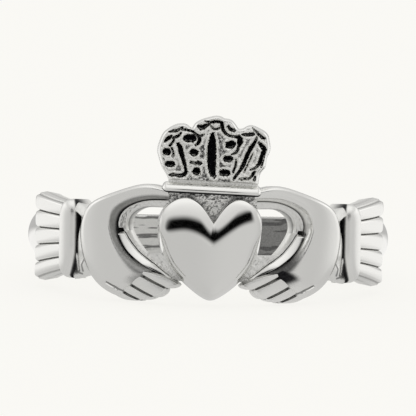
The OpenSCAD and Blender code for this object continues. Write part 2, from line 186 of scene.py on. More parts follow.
# The crown's outline from its left foot round to the right one, in mm from its foot's middle.
CROWN_OUTLINE = np.array([
    (-2.45, 0.00), (-2.42, 0.29), (-2.56, 0.66), (-2.83, 1.06), (-3.01, 1.52), (-3.12, 1.90),
    (-3.10, 2.27), (-3.01, 2.58), (-2.85, 2.95), (-2.56, 3.22), (-2.35, 3.36), (-2.08, 3.48),
    (-1.75, 3.51), (-1.50, 3.42), (-1.29, 3.30), (-1.14, 3.53), (-0.88, 3.74), (-0.61, 3.86),
    (-0.33, 3.95), (-0.01, 4.03), (0.30, 4.00), (0.50, 3.91), (0.78, 3.88), (1.01, 3.73),
    (1.18, 3.53), (1.33, 3.38), (1.58, 3.44), (1.84, 3.59), (2.12, 3.60), (2.46, 3.47),
    (2.77, 3.31), (2.97, 3.10), (3.03, 2.90), (3.08, 2.69), (3.12, 2.44), (3.07, 2.13),
    (2.96, 1.88), (2.92, 1.57), (2.86, 1.29), (2.67, 1.02), (2.58, 0.70), (2.54, 0.30),
    (2.52, 0.00),
])
CROWN_HUB = np.array([0.0, 1.5])    # rays run from here to the outline
# What is cut into the crown, as lines of points across, up and half the cut's width there:
# slits under the border's beads, the pits of the pearls, and the openings of the leaves.
CROWN_CUTS = [
    [(-2.74, 2.45, 0.044), (-2.59, 2.63, 0.088), (-2.40, 2.78, 0.044)],
    [(-2.55, 3.01, 0.028), (-2.28, 3.06, 0.055), (-2.00, 3.15, 0.055), (-1.82, 3.28, 0.039)],
    [(-1.84, 3.17, 0.044), (-1.56, 3.15, 0.055), (-1.28, 3.11, 0.055), (-1.11, 2.98, 0.055),
     (-0.88, 2.80, 0.088), (-0.86, 2.53, 0.077), (-1.02, 2.35, 0.050)],
    [(-0.88, 2.80, 0.066), (-0.61, 2.95, 0.028)],
    [(-2.26, 2.70, 0.055), (-2.04, 2.79, 0.055), (-1.88, 2.97, 0.044)],
    [(-2.45, 2.25, 0.050), (-2.33, 2.42, 0.050), (-2.25, 2.56, 0.039)],
    [(-2.66, 1.90, 0.166), (-2.57, 1.91, 0.166)],
    [(-2.48, 1.23, 0.144), (-2.29, 1.24, 0.144)],
    [(-2.39, 0.62, 0.055), (-2.03, 0.64, 0.066), (-1.76, 0.62, 0.083), (-1.52, 0.78, 0.083),
     (-1.53, 1.05, 0.066), (-1.67, 1.49, 0.088), (-1.80, 1.87, 0.110), (-1.90, 2.19, 0.110),
     (-1.99, 2.33, 0.066)],
    [(-1.51, 2.70, 0.188), (-1.23, 2.72, 0.199)],
    [(-1.13, 1.93, 0.182), (-1.08, 1.93, 0.182)],
    [(-1.24, 1.37, 0.055), (-1.02, 1.37, 0.055), (-0.77, 1.37, 0.088)],
    [(-0.92, 0.92, 0.182), (-0.91, 0.89, 0.182)],
    [(-2.34, 2.11, 0.039), (-2.24, 1.84, 0.044), (-2.26, 1.68, 0.044)],
    [(-0.97, 3.41, 0.050), (-0.80, 3.33, 0.110), (-0.58, 3.41, 0.099), (-0.34, 3.55, 0.044)],
    [(-0.60, 3.70, 0.033), (-0.32, 3.65, 0.044), (-0.15, 3.67, 0.055), (0.18, 3.70, 0.055),
     (0.35, 3.59, 0.077), (0.39, 3.37, 0.077), (0.54, 3.13, 0.066), (0.83, 2.95, 0.055),
     (1.22, 2.92, 0.066), (1.39, 2.81, 0.122), (1.40, 2.59, 0.110), (1.33, 2.37, 0.061),
     (1.23, 2.09, 0.055), (0.99, 1.94, 0.033)],
    [(-0.25, 3.44, 0.033), (-0.08, 3.29, 0.039), (0.14, 3.31, 0.039), (0.30, 3.42, 0.033)],
    [(-0.14, 2.93, 0.099), (-0.13, 2.40, 0.199), (-0.13, 1.85, 0.221), (-0.09, 1.30, 0.210),
     (-0.03, 0.86, 0.155), (0.09, 0.67, 0.066)],
    [(0.72, 3.47, 0.055), (0.84, 3.32, 0.077), (1.03, 3.29, 0.066)],
    [(0.80, 2.45, 0.177), (0.94, 2.49, 0.193)],
    [(0.70, 1.67, 0.155), (0.87, 1.68, 0.160)],
    [(0.52, 0.89, 0.149), (0.78, 0.90, 0.155)],
    [(1.23, 1.64, 0.039), (1.22, 1.31, 0.044), (1.10, 0.97, 0.050)],
    [(1.54, 3.07, 0.050), (1.82, 3.07, 0.077), (2.09, 3.12, 0.077)],
    [(2.05, 3.47, 0.028), (2.25, 3.30, 0.039), (2.48, 3.07, 0.066), (2.74, 2.92, 0.044)],
    [(2.30, 2.89, 0.044), (2.20, 2.64, 0.072), (2.00, 2.29, 0.094), (1.85, 1.95, 0.094),
     (1.71, 1.56, 0.094), (1.61, 1.28, 0.088), (1.43, 0.99, 0.066), (1.18, 0.62, 0.050)],
    [(2.45, 2.65, 0.044), (2.68, 2.44, 0.110), (2.77, 2.28, 0.083), (2.65, 1.94, 0.088),
     (2.56, 1.55, 0.077), (2.30, 1.26, 0.055), (2.09, 1.16, 0.039)],
    [(2.81, 2.12, 0.028), (2.77, 1.78, 0.039), (2.66, 1.33, 0.033)],
    [(1.51, 0.62, 0.044), (1.78, 0.64, 0.044), (2.06, 0.70, 0.050), (2.24, 0.95, 0.066),
     (2.29, 1.04, 0.044)],
    [(2.33, 0.76, 0.044), (2.31, 0.60, 0.055)],
    [(2.15, 2.08, 0.022), (2.00, 1.69, 0.025), (1.81, 1.23, 0.025), (1.71, 0.98, 0.022)],
]


# Places on the ring
def on_ring(s, z, t):
    """Points from their length along the band, height and thickness over the finger."""
    a = np.asarray(s) / FACE_R
    r = BORE_R + np.asarray(t)
    return np.stack(np.broadcast_arrays(r * np.sin(a), -r * np.cos(a), z), -1)


def front(x, z, t):
    """Points given by their place on the front, seen from -Y, and thickness over the finger."""
    r = BORE_R + t
    return np.stack(np.broadcast_arrays(x, -np.sqrt(np.maximum(r * r - x * x, 0)), z), -1)


def back_at(z):
    """The thickness from the finger to the back of the head, which flares away from the
    finger above and below the band's straight wall."""
    return BACK_T + np.maximum(0, np.abs(z) - BAND_W / 2 + BAND_BEVEL - BACK_T) * BACK_FLARE


def hand_s(share):
    """The length along the band at a share of the way from the heart's side to the wrist."""
    return HEART_W / 2 + share * HAND_L


def turned(x, z, turn, height):
    """x and z turned clockwise as seen from the front, and raised."""
    c, s = math.cos(turn), math.sin(turn)
    return x * c + z * s, z * c - x * s + height


# The ring rests on the hands' lowest points and the band's back edge, and leans that far.
heel = HAND[-1]
heel_z = HAND_DROP * heel[1]
heel_point = on_ring(hand_s(heel[0]), heel_z, back_at(heel_z))
TILT = math.atan((-heel_point[2] - BAND_W / 2) / (BORE_R + BAND_EDGE_T - heel_point[1]))


def placed(p):
    """The ring's frame tipped back by TILT about X, in metres."""
    c, s = math.cos(TILT), math.sin(TILT)
    across, deep, high = p[..., 0], p[..., 1], p[..., 2]
    return np.stack([across, c * deep + s * high, c * high - s * deep], -1) * 0.001


# Curves
def mix(a, b, f):
    """The way from a to b, a share f of it."""
    return a + (b - a) * f


def smooth(x):
    """0 below 0, 1 above 1, and 3x^2 - 2x^3 between."""
    x = np.clip(x, 0, 1)
    return x * x * (3 - 2 * x)


def bell(x, width):
    """1 at 0 and falling off to both sides: e to the power of minus (x / width) squared."""
    return np.exp(-(x / width) ** 2)


def strongest(*marks):
    """The strongest of several marks at each point."""
    return np.max(np.broadcast_arrays(*marks), 0)


def to_the_end(n):
    """n steps from 0 to 1, closer together towards 1."""
    return np.sin(np.linspace(0, math.pi / 2, n))


def to_both_ends(n):
    """n steps from 0 to 1, closer together towards both."""
    return 0.5 - 0.5 * np.cos(np.linspace(0, math.pi, n))


def spline(rows, u):
    """A cubic curve through the rows at whole numbers of u, smooth to its second derivative,
    which is none at both ends."""
    rows, u = np.asarray(rows, float), np.asarray(u, float)
    n = len(rows)
    shares = np.eye(n)
    shares[range(1, n - 1), range(0, n - 2)] = shares[range(1, n - 1), range(2, n)] = 1
    shares[range(1, n - 1), range(1, n - 1)] = 4
    turns = np.zeros_like(rows)
    turns[1:-1] = 6 * (rows[2:] - 2 * rows[1:-1] + rows[:-2])
    bend = np.linalg.solve(shares, turns)
    i = np.clip(np.floor(u).astype(int), 0, n - 2)
    f = (u - i)[..., None]
    return (rows[i] * (1 - f) + rows[i + 1] * f
            + ((f ** 3 - f) * bend[i + 1] + ((1 - f) ** 3 - (1 - f)) * bend[i]) / 6)


def grains(x, y, size, seed):
    """Lumps from -1 to 1: random heights on a square net of the given size, smoothly joined."""
    cells, origin = 128, 500
    net = np.random.default_rng(seed).uniform(-1, 1, (cells, cells))
    gx, gy = np.asarray(x) / size + origin, np.asarray(y) / size + origin
    ix, iy = np.floor(gx).astype(int), np.floor(gy).astype(int)
    fx, fy = smooth(gx - ix), smooth(gy - iy)
    at = lambda a, b: net[a % cells, b % cells]
    return mix(mix(at(ix, iy), at(ix + 1, iy), fx), mix(at(ix, iy + 1), at(ix + 1, iy + 1), fx), fy)


def cast_grain(x, y, seed, size):
    """The pebbled skin of an unpolished casting, from -1 to 1: coarse lumps of the given size
    in mm, and with about half their weight finer ones of half that size."""
    return 0.65 * grains(x, y, size, seed) + 0.35 * grains(x, y, size / 2, seed + 1)


def from_strokes(x, z, strokes):
    """Distance from the nearest stroke's edge, less than 0 inside one. A stroke is a chain of
    round cones: to each stretch, the distance to its nearest point less the radius there."""
    near = np.full(np.broadcast(x, z).shape, 9.0)
    for stroke in strokes:
        for (ax, az, ar), (bx, bz, br) in zip(stroke, stroke[1:]):
            wx, wz = bx - ax, bz - az
            f = np.clip(((x - ax) * wx + (z - az) * wz) / (wx * wx + wz * wz), 0, 1)
            near = np.minimum(near, np.hypot(x - ax - f * wx, z - az - f * wz) - mix(ar, br, f))
    return near


# Closed surfaces
# Each vertex carries two numbers for the silver: grain, which makes it satin and pitted, and
# black, which is how far it is tarnished, and in a few places painted shade. The plain back of
# the head has this much grain:
BACK_GRAIN = 2.0
CRISP_FROM = math.radians(42)       # folds sharper than this stay crisp
pieces = []


def grid_faces(n, m, first=0, loop=False):
    """Four-sided faces of an n by m grid of points, closed along its second way if loop."""
    i, j = np.meshgrid(np.arange(n - 1), np.arange(m if loop else m - 1), indexing="ij")
    k = (j + 1) % m
    return (first + np.stack([i * m + j, (i + 1) * m + j, (i + 1) * m + k, i * m + k], -1)).reshape(-1, 4)


def add_piece(name, points, quads, fans=(), grain=0.0, black=0.0):
    """One closed surface. fans are (pole, loop) pairs: triangles from a point to a closed loop.

    Its faces are turned outwards: a closed surface whose faces look out has a positive volume.
    """
    tris = [np.stack([np.full(len(loop), pole), loop, np.roll(loop, -1)], -1) for pole, loop in fans]
    tris = np.concatenate(tris) if tris else np.zeros((0, 3), int)
    halves = np.concatenate([quads[:, [0, 1, 2]], quads[:, [0, 2, 3]], tris])
    a, b, c = (points[halves[:, k]] for k in range(3))
    if np.einsum("ij,ij->", a, np.cross(b, c)) < 0:
        quads, tris = quads[:, ::-1], tris[:, ::-1]
    mesh = bpy.data.meshes.new(name)
    mesh.from_pydata(placed(points).tolist(), [], quads.tolist() + tris.tolist())
    mesh.update()
    mesh.polygons.foreach_set("use_smooth", np.ones(len(mesh.polygons), bool))
    mesh.set_sharp_from_angle(angle=CRISP_FROM)
    piece = bpy.data.objects.new(name, mesh)
    bpy.context.scene.collection.objects.link(piece)
    for key, value in (("grain", grain), ("black", black)):
        put = mesh.attributes.new(key, "FLOAT", "POINT")
        put.data.foreach_set("value", np.broadcast_to(np.float32(value), len(points)).copy())
    pieces.append((piece, points))


def slab(name, top, grain, black=0.0, side="", tuck=0.0):
    """A closed solid between a grid of points and the same grid carried down to the head's back,
    where it is lower by the share tuck, so that its outer walls lean in. Where pieces overlap,
    each back lies BACK_STEP off the one before it, so that no two faces coincide. Pieces are
    worked out for the right side, and the left ones are their mirror images."""
    n, m = top.shape[:2]
    r = np.hypot(top[..., 0], top[..., 1])
    f = (BORE_R + back_at(top[..., 2]) + BACK_STEP * len(pieces)) / r
    back = top * np.stack([f, f, np.full_like(r, 1 - tuck)], -1)
    points = np.concatenate([top.reshape(-1, 3), back.reshape(-1, 3)])
    edge = np.concatenate([np.arange(m), m - 1 + m * np.arange(1, n),
                           n * m - 2 - np.arange(m - 1), m * np.arange(n - 2, 0, -1)])
    after = np.roll(edge, -1)
    quads = np.concatenate([grid_faces(n, m)[:, ::-1], grid_faces(n, m, n * m),
                            np.stack([edge, edge + n * m, after + n * m, after], -1)])

    def with_back(value, behind):
        """A number for each point: value for those in front, behind for those at the back."""
        return np.concatenate([np.broadcast_to(value, (n, m)).ravel(), np.full(n * m, behind)])

    if side == "left":
        points = points * [-1, 1, 1]
    add_piece(f"{side}_{name}" if side else name, points, quads,
              grain=with_back(grain, BACK_GRAIN), black=with_back(black, 0.0))


def rings(name, loops, first, last, grain=0.0, black=0.0):
    """A closed solid through loops of points, closed at each end by a fan from a point."""
    n, m = loops.shape[:2]
    points = np.concatenate([loops.reshape(-1, 3), [first], [last]])
    fans = [(n * m, np.arange(m)[::-1]), (n * m + 1, (n - 1) * m + np.arange(m))]

    def with_poles(value):
        """A number for each point, and at each end the mean of the loop beside it."""
        value = np.broadcast_to(value, (n, m))
        return np.concatenate([value.ravel(), [value[0].mean(), value[-1].mean()]])

    add_piece(name, points, grid_faces(n, m, loop=True), fans, with_poles(grain), with_poles(black))


# Band
def make_band():
    """The hoop's section carried round the finger from frill to frill. Outside it is domed, part
    of a circle through its edges and its crest. Inside it is flat with bevelled edges, and duller
    in streaks that run round it: coarse ones 2.2 mm long and 0.2 mm high, fine ones 0.6 by 0.07,
    duller where they are deeper. Its right half is darker too, which is painted shade, and its
    ends lie under the frills."""
    half, rise = BAND_W / 2, BAND_T - BAND_EDGE_T
    dome_r = (half * half + rise * rise) / (2 * rise)
    a = np.linspace(-1, 1, 41) * math.asin(half / dome_r)
    dome = np.stack([FACE_R - dome_r + dome_r * np.cos(a), dome_r * np.sin(a)], -1)
    wall = half - BAND_BEVEL
    height = np.linspace(wall, -wall, 73)
    inside = np.stack([np.full(len(height), BORE_R), height], -1)
    down = mix(BORE_R + BAND_EDGE_T, BORE_R + BAND_BEVEL, np.array([0.04, 0.5, 0.96]))
    upper, lower = (np.stack([down, np.full(len(down), z)], -1) for z in (half, -half))
    section = np.concatenate([dome, upper, inside, lower[::-1]])
    r, z = section.T
    within = np.repeat([0.0, 1.0, 0.0], [len(dome) + len(upper), len(inside), len(lower)])

    under_frill = 0.6
    start = (FRILL_END_S - under_frill) / FACE_R
    turn = np.linspace(start, 2 * math.pi - start, 321)[:, None]
    streak = 0.6 * grains(turn * 4 + 3, z * 5, 1.0, 61) + 0.4 * grains(turn * 14, z * 14, 1.0, 62)
    skin = r + BAND_STREAK_T * within * streak
    loops = np.stack(np.broadcast_arrays(skin * np.sin(turn), -skin * np.cos(turn), z), -1)
    # The inside's black: duller in the streaks, plus painted shade over the right half.
    right = smooth(r * np.sin(turn) / 2.5)
    dull_and_shade = np.minimum(0.2 + 0.40 * right + 0.45 * smooth((streak - 0.06) / 0.3), 0.72)
    rings("band", loops, loops[0].mean(0), loops[-1].mean(0), grain=within * BACK_GRAIN, black=within * dull_and_shade)


# Heart
def heart_outline(steps):
    """Across and up in mm, from the notch over the right lobe to the tip and back: a smooth
    curve through HEART and its mirror image. Its right half is narrowed by 3.5% at the tip and
    8.5% from 1.9 mm up, and its left half widened by 2.5% from 3.5 mm up."""
    whole = HEART + [(-x, y) for x, y in HEART[-2::-1]]
    across, up = (spline(whole, np.arange((len(whole) - 1) * steps) / steps) * [HEART_W / 2, HEART_H]).T
    right = mix(0.965, 0.915, smooth((up - 0.3) / 1.6))
    left = mix(1.0, 1.025, smooth((up - 2.0) / 1.5))
    return np.stack([across * np.where(across > 0, right, left), up], -1)


def heart_face_t(across, up):
    """The face's thickness, from the place across and up from the tip. It is flat up to the line
    HEART_BEND and falls above it by HEART_ROLL times the square of the height over it. It also
    falls with the square of the way across, more past 1.2 mm to the right and 2.0 mm to the
    left, and with the square of the way down past 1.3 mm below the band's middle."""
    bend = spline(HEART_BEND, np.linspace(0, len(HEART_BEND) - 1, 200))
    over = np.maximum(0, up - HEART_DROP - np.interp(across, bend[:, 0], bend[:, 1]))
    past_sides = np.maximum(0, across - 1.2) ** 2 + np.maximum(0, -across - 2.0) ** 2
    to_tip = np.maximum(0, HEART_DROP - 1.3 - up) ** 2
    return HEART_T - HEART_ROLL * over ** 2 - 0.014 * across ** 2 - 0.06 * past_sides - 0.03 * to_tip


def make_heart():
    """The wall leans in by HEART_DRAFT, less at the lobes, as a quarter ellipse from the outline
    up to the rim. The face is the rim shrunk towards the middle by w, with a narrow lip that
    falls by HEART_LIP times (1 - w)^30, less at the lobes. The fold between the two is rounded
    by averaging each loop there with its neighbours, twice."""
    outline = heart_outline(18)
    middle = np.array([0, HEART_H * HEART_MIDDLE])
    way = outline - middle
    lobes = smooth(way[:, 1:] / 1.2)
    draft = HEART_DRAFT * (1 - 0.65 * lobes)
    rim = outline - way / np.linalg.norm(way, axis=1, keepdims=True) * draft

    w = np.linspace(0, 1, 100)[:-1, None] ** 2
    face = rim + (middle - rim) * w[..., None]
    lip = HEART_LIP * (1 - 0.8 * lobes[:, 0]) * (1 - w) ** 30
    face_t = heart_face_t(face[..., 0], face[..., 1]) - lip
    up = to_the_end(22)[:-1, None]
    wall = mix(outline, rim, 1 - np.sqrt(1 - up[..., None] ** 2))
    wall_t = mix(BACK_T, face_t[:1], up)
    flat, t = np.concatenate([wall, face]), np.concatenate([wall_t, face_t])
    fold = len(wall)
    for v in (flat, t):
        for _ in range(2):
            before, at, after = (v[fold - 2 + k:fold + 4 + k] for k in (-1, 0, 1))
            v[fold - 2:fold + 4] = (before + 2 * at + after) / 4

    x, z = turned(flat[..., 0], flat[..., 1], HEART_TURN, -HEART_DROP)
    y = -BORE_R - t
    y[0] = front(x[0], z[0], back_at(z[0]))[:, 1]
    y[1:fold] = mix(y[0], y[fold], up[1:])
    mx, mz = turned(*middle, HEART_TURN, -HEART_DROP)
    share = np.linspace(0.05, 0.95, 10)[:, None]
    back_z = mix(mz, z[0], share)
    back = front(mix(mx, x[0], share), back_z, back_at(back_z))
    grain = np.repeat([BACK_GRAIN, 0.0], [len(back), len(flat)])[:, None]
    rings("heart", np.concatenate([back, np.stack([x, y, z], -1)]), front(mx, mz, back_at(mz)),
          [mx, -BORE_R - HEART_T, mz], grain)


def make_heart_ground():
    """The pebbled ground behind the lobes, from a third of the way up to their top as far as the
    roll. Its pebbles stand 0.06 mm out, and what lies between them is black."""
    x = np.linspace(-CROWN_FOOT_W / 2, CROWN_FOOT_W / 2, 150)[:, None]
    z = np.linspace(HEART_TOP / 3, ROLL_Z, 58)[None]
    pebble = cast_grain(x, z, 5, 0.08)
    slab("heart_ground", front(x, z, GROUND_T + 0.06 * pebble), grain=1.0,
         black=0.6 * smooth((-pebble - 0.05) / 0.3))


def make_web():
    """The pebbled web between the hands' ledges and first fingers, behind the heart's tip: rows
    across from one hand to the other, through three corners on each side."""
    s = [hand_s(0.22), hand_s(heel[2]), hand_s(-0.20)]
    z = [HAND_DROP * -0.27, HAND_DROP * heel[3], HAND_DROP * -0.74 + FINGER_W / 3]
    corner = on_ring(np.array(s), np.array(z), WEB_T)
    up = np.linspace(corner[0, 2], corner[2, 2], 42)[None]
    half = np.interp(-up, -corner[:, 2], corner[:, 0])
    x = np.linspace(-1, 1, 160)[:, None] * half
    slab("web", front(x, up, WEB_T + 0.05 * cast_grain(x, up, 9, 0.11)), grain=1.0)


# Hands
def hand_section(u):
    """The seven columns of HAND at u, counted in rows, as a smooth curve through them."""
    return spline(HAND, u[:, 0])[:, None, :].transpose(2, 0, 1)


def make_palm(side):
    """The back of the hand: sections across it, joined by a smooth curve from the thumb round
    the opening to the knuckles. From the outer edge a quarter circle rises to the crest. From
    there it falls with the square of the way to the brim, and then hollows down to the ledge
    with the way's second and fourth powers. At the knuckles it dips towards the fingers."""
    u = (PALM_END * (1 - (1 - np.linspace(0, 1, 190)) ** 1.3))[:, None]
    v = to_both_ends(84)[None]
    outer_s, outer_z, inner_s, inner_z, _, _, crest = hand_section(u)
    s, z = hand_s(mix(outer_s, inner_s, v)), HAND_DROP * mix(outer_z, inner_z, v)
    brim = np.interp(u, range(len(PALM_BRIM)), PALM_BRIM)
    # How thick the palm still is at its inner edge, by section.
    low = np.interp(u, [0, 4, 6, 8, 9], [LEDGE_T, LEDGE_T, 1.08, 1.20, 1.20])
    to_crest = np.minimum(v / PALM_CREST, 1)
    to_brim = np.clip((v - PALM_CREST) / (brim - PALM_CREST), 0, 1)
    deep = np.clip((v - brim) / (1 - brim), 0, 1)
    rise = np.where(to_crest < 1, np.sqrt(1 - (1 - to_crest) ** 2), 1 - 0.14 * to_brim ** 2)
    t = mix(HAND_EDGE_T, HAND_T, crest * rise)
    t = mix(t, low, 0.25 * deep ** 2 + 0.75 * deep ** 4)
    knuckle = smooth((u - (PALM_END - KNUCKLE_L)) / KNUCKLE_L)
    crease = np.maximum(from_strokes(s, z, [PALM_CREASE]), 0)
    t = t - 0.24 * knuckle ** 2 * to_crest - 0.10 * bell(crease, 0.05)

    # The hollow towards the opening is blackened as a painted dark reflection, by a different amount on each
    # hand. The inner half darkening towards the knuckles is painted shade.
    hollow_shade = mix(0.15, 0.75, smooth((u - 5.2) / 2)) if side == "right" else 0.55
    marks = [smooth(deep / 0.6) * hollow_shade + 0.30 * smooth((deep - 0.86) / 0.12) * (u < 7),
             0.5 * smooth((u - 7.5) / 0.7) * smooth((v - 0.30) / 0.35),
             0.85 * smooth((knuckle - 0.75) / 0.25) * smooth((v - 0.25) / 0.25),
             0.6 * bell(crease, 0.035)]
    # Painted shade over the fingers, on the right hand only.
    if side == "right":
        shade_over_fingers = smooth((v - 0.42) / 0.25) * (1 - smooth((v - 0.9) / 0.1))
        marks.append(0.9 * smooth((u - 7.3) / 0.5) * shade_over_fingers)
    black = strongest(*marks)
    slab("palm", on_ring(s, z, t), grain=0.45 + 0.4 * (black > 0.3), black=black, side=side)


def make_ledge(side):
    """The border of the opening. Above the notch it is a flat pebbled strip with a low ridge
    near its outer edge. Below, a plain roll swells beside the fingers and runs out to a point:
    it rises steeply with the square root of the way across and falls slowly. Then come a black
    line and a pebbled bevel that goes down into the opening."""
    u = np.linspace(0, len(HAND) - 1, 320)[:, None]
    v = np.linspace(0, 1, 46)[None]
    _, _, inner_s, inner_z, open_s, open_z, _ = hand_section(u)
    s, z = hand_s(mix(inner_s, open_s, v)), HAND_DROP * mix(inner_z, open_z, v)
    below = smooth((u - LEDGE_ROLL) / 0.06)
    # How much of the ledge's breadth the roll takes up, by section.
    wide = np.interp(u, [4.9, 5.2, 6, 7, 8, 9], [0.50, 0.62, 0.68, 0.70, 0.72, 0.60])
    swell = smooth((u - 4.95) / 0.25) * (1 - 0.8 * smooth((u - 7.6) / 1.3))
    across = np.clip(v / wide, 0, 1)
    roll = np.minimum(1, across / 0.16) ** 0.5 * (1 - 0.75 * np.maximum(0, (across - 0.16) / 0.84) ** 1.2)
    pebble = cast_grain(s, z, 21, 0.09)
    bevel = np.clip((v - wide - 0.06) / (0.94 - wide), 0, 1)
    strip = 0.02 * pebble + 0.05 * bell(v - 0.12, 0.08) - 0.22 * smooth((v - 0.84) / 0.16)
    low = 0.34 * swell * roll * (v < wide) + (bevel > 0) * (0.02 * pebble - 0.30 * bevel ** 1.3)
    line = bell(v - wide - 0.03, 0.04) * below
    begin, end = (smooth((u - section) / 0.05) for section in LEDGE_NOTCH)
    notch = begin * (1 - end) * (1 - smooth((v - 0.5) / 0.08))
    t = LEDGE_T + mix(strip, low, below) - 0.10 * line - 0.40 * notch

    edges = (1 - below) * (smooth((0.07 - v) / 0.05) + 0.7 * smooth((v - 0.93) / 0.05))
    # The notch's black is painted shade.
    black = strongest(0.75 * line, notch, 0.8 * np.minimum(edges, 1))
    grain = mix(0.85, np.where(v > wide, 1.0, 0.1), below)
    slab("ledge", on_ring(s, z, t), grain=grain, black=black, side=side)


def make_fingers(side):
    """Each finger is the strip between two of FINGER_LINES, drawn out at its tip by half an
    ellipse. It is nearly flat, and falls to the grooves at both sides as a bell curve, more
    widely at the little finger's lower edge. The grooves' black is broadest halfway along, as a
    lens, and darkest along the lens's edge. A fold at the knuckles is black too."""
    p = to_the_end(64)[:, None]
    q = to_both_ends(40)[None]
    start = smooth(p / 0.12)
    lens = 0.02 + 0.075 * np.sin(math.pi * p) ** 0.5
    # The fold's black at the fingers' roots is painted shade, stronger and longer on the right hand.
    fold, fold_l = (0.9, 0.17) if side == "right" else (0.6, 0.09)
    lines = [spline(line, p[:, 0] * 3) * [HAND_L, HAND_DROP] + [HEART_W / 2, 0] for line in FINGER_LINES]
    for k, (reach, crest) in enumerate(zip(FINGER_TIPS, FINGER_T)):
        a, b = lines[k][:, None], lines[k + 1][:, None]
        way = a[-1] + b[-1] - a[-14] - b[-14]       # where the strip's last steps lead
        way = way / np.linalg.norm(way)
        tip = reach * np.clip((p - 0.6) / 0.4, 0, 1) ** 2 * np.sqrt(np.maximum(0, 1 - (2 * q - 1) ** 2))
        at = mix(a, b, q[..., None]) + way * tip[..., None]
        near = np.minimum(q, 1 - q) * np.linalg.norm(b - a, axis=-1)
        lower_edge = (k == len(FINGER_T) - 1) & (q > 0.5)
        t = crest - 0.20 * start * bell(near, np.where(lower_edge, 0.16, 0.055))
        t = t - 0.05 * (2 * q - 1) ** 2 * start
        t = t - 0.36 * smooth((p - 0.955) / 0.045) ** 2 - 0.05 * smooth((p - 0.6) / 0.4)
        groove = 0.34 * np.exp(-(near / lens) ** 4) + 0.45 * bell(near - lens, 0.025)
        groove = groove * start * (1 - smooth((p - 0.96) / 0.03))
        black = strongest(groove, fold * (1 - smooth(p / fold_l)))
        slab(f"finger_{k + 1}", on_ring(at[..., 0], at[..., 1], t), grain=1.0,
             black=np.where(lower_edge, 0, black), side=side)


# Sleeves
def make_cuff(side):
    """The rolled cuff: an upright bar with round ends, half an ellipse across with its sides
    made steeper by a square root. Its edge on the hand's side leans away towards the foot."""
    half, r = CUFF_H / 2, CUFF_W / 2
    z = -np.cos(np.linspace(0, math.pi, 110))[:, None] * half
    across = np.cos(np.linspace(0, math.pi, 48))[None]
    end = np.maximum(0, (np.abs(z) - (half - 1.5 * r)) / (1.5 * r))
    w = np.sqrt(1 - np.minimum(end, 0.999) ** 2.4)
    lean = np.minimum(0.5 * r * smooth((-z - 0.5) / 1.8), 0.8 * r * w)
    s = CUFF_S + across * np.where(across < 0, r * w - lean, r * w)
    foot_t = 1.0
    t = foot_t + (CUFF_T - foot_t) * np.sqrt(np.maximum(0, w * w - (across * w) ** 2 * 0.985)) ** 0.5
    inner_edge = smooth((-across - 0.86) / 0.12)
    slab("cuff", on_ring(s, z - CUFF_DROP, t), grain=0.8, black=inner_edge * 0.9, side=side)


def make_lining(side):
    """The sleeve between cuff and wrist, along it by u and down it by q. At the top it is a plain
    bar with a round end that arches over to the cuff, then a deep gap runs down its middle and
    closes, and below the gap it is a soft pleat: a wave that falls off towards the cuff."""
    u = np.linspace(0, 1, 56)[:, None]
    q = np.linspace(-1, 1, 150)[None]
    s = mix(hand_s(0.84), CUFF_S, u) + 0.08 * np.cos(math.pi * q)
    wrist = mix(0.84, 0.62, smooth(-q / 0.5))
    z = -LINING_DROP - q * mix(wrist, 1.0, np.sin(u * math.pi / 2)) * LINING_H / 2
    middle, wide = 0.56, mix(0.20, 0.07, smooth((q + 0.55) / 0.75))
    gap = smooth((wide - np.abs(u - middle)) / 0.05)
    gap = gap * smooth((q + 0.78) / 0.08) * (1 - smooth((q - 0.22) / 0.12))
    end = np.sqrt(1 - np.clip((-q - 0.66) / 0.345, 0, 1) ** 2)
    arch = 0.20 * smooth((-q - 0.72) / 0.10) * smooth(u / 0.4)
    bar = 0.41 + arch + 0.12 * np.sin(math.pi * np.clip(u / 0.55, 0, 1))
    pleat = smooth((q - 0.25) / 0.2) * 0.05 * np.sin(u * 9 + q * 4) - smooth((q - 0.3) / 0.3) * 0.15 * u
    t = 1.12 + end * bar - 0.30 * (q > 0) * q ** 8 + pleat - 0.75 * gap
    pleat_l = 1.5
    creases = np.maximum(from_strokes(u * pleat_l, q * LINING_H / 2, PLEAT_CREASES), 0)
    black = strongest(0.9 * gap, 0.6 * bell(creases, 0.05))
    grain = mix(0.25, 0.8, smooth((q - 0.35) / 0.2)) + 1.4 * smooth((-q - 0.6) / 0.1)
    slab("lining", on_ring(s, z, t), grain=grain, black=black, side=side, tuck=0.07)


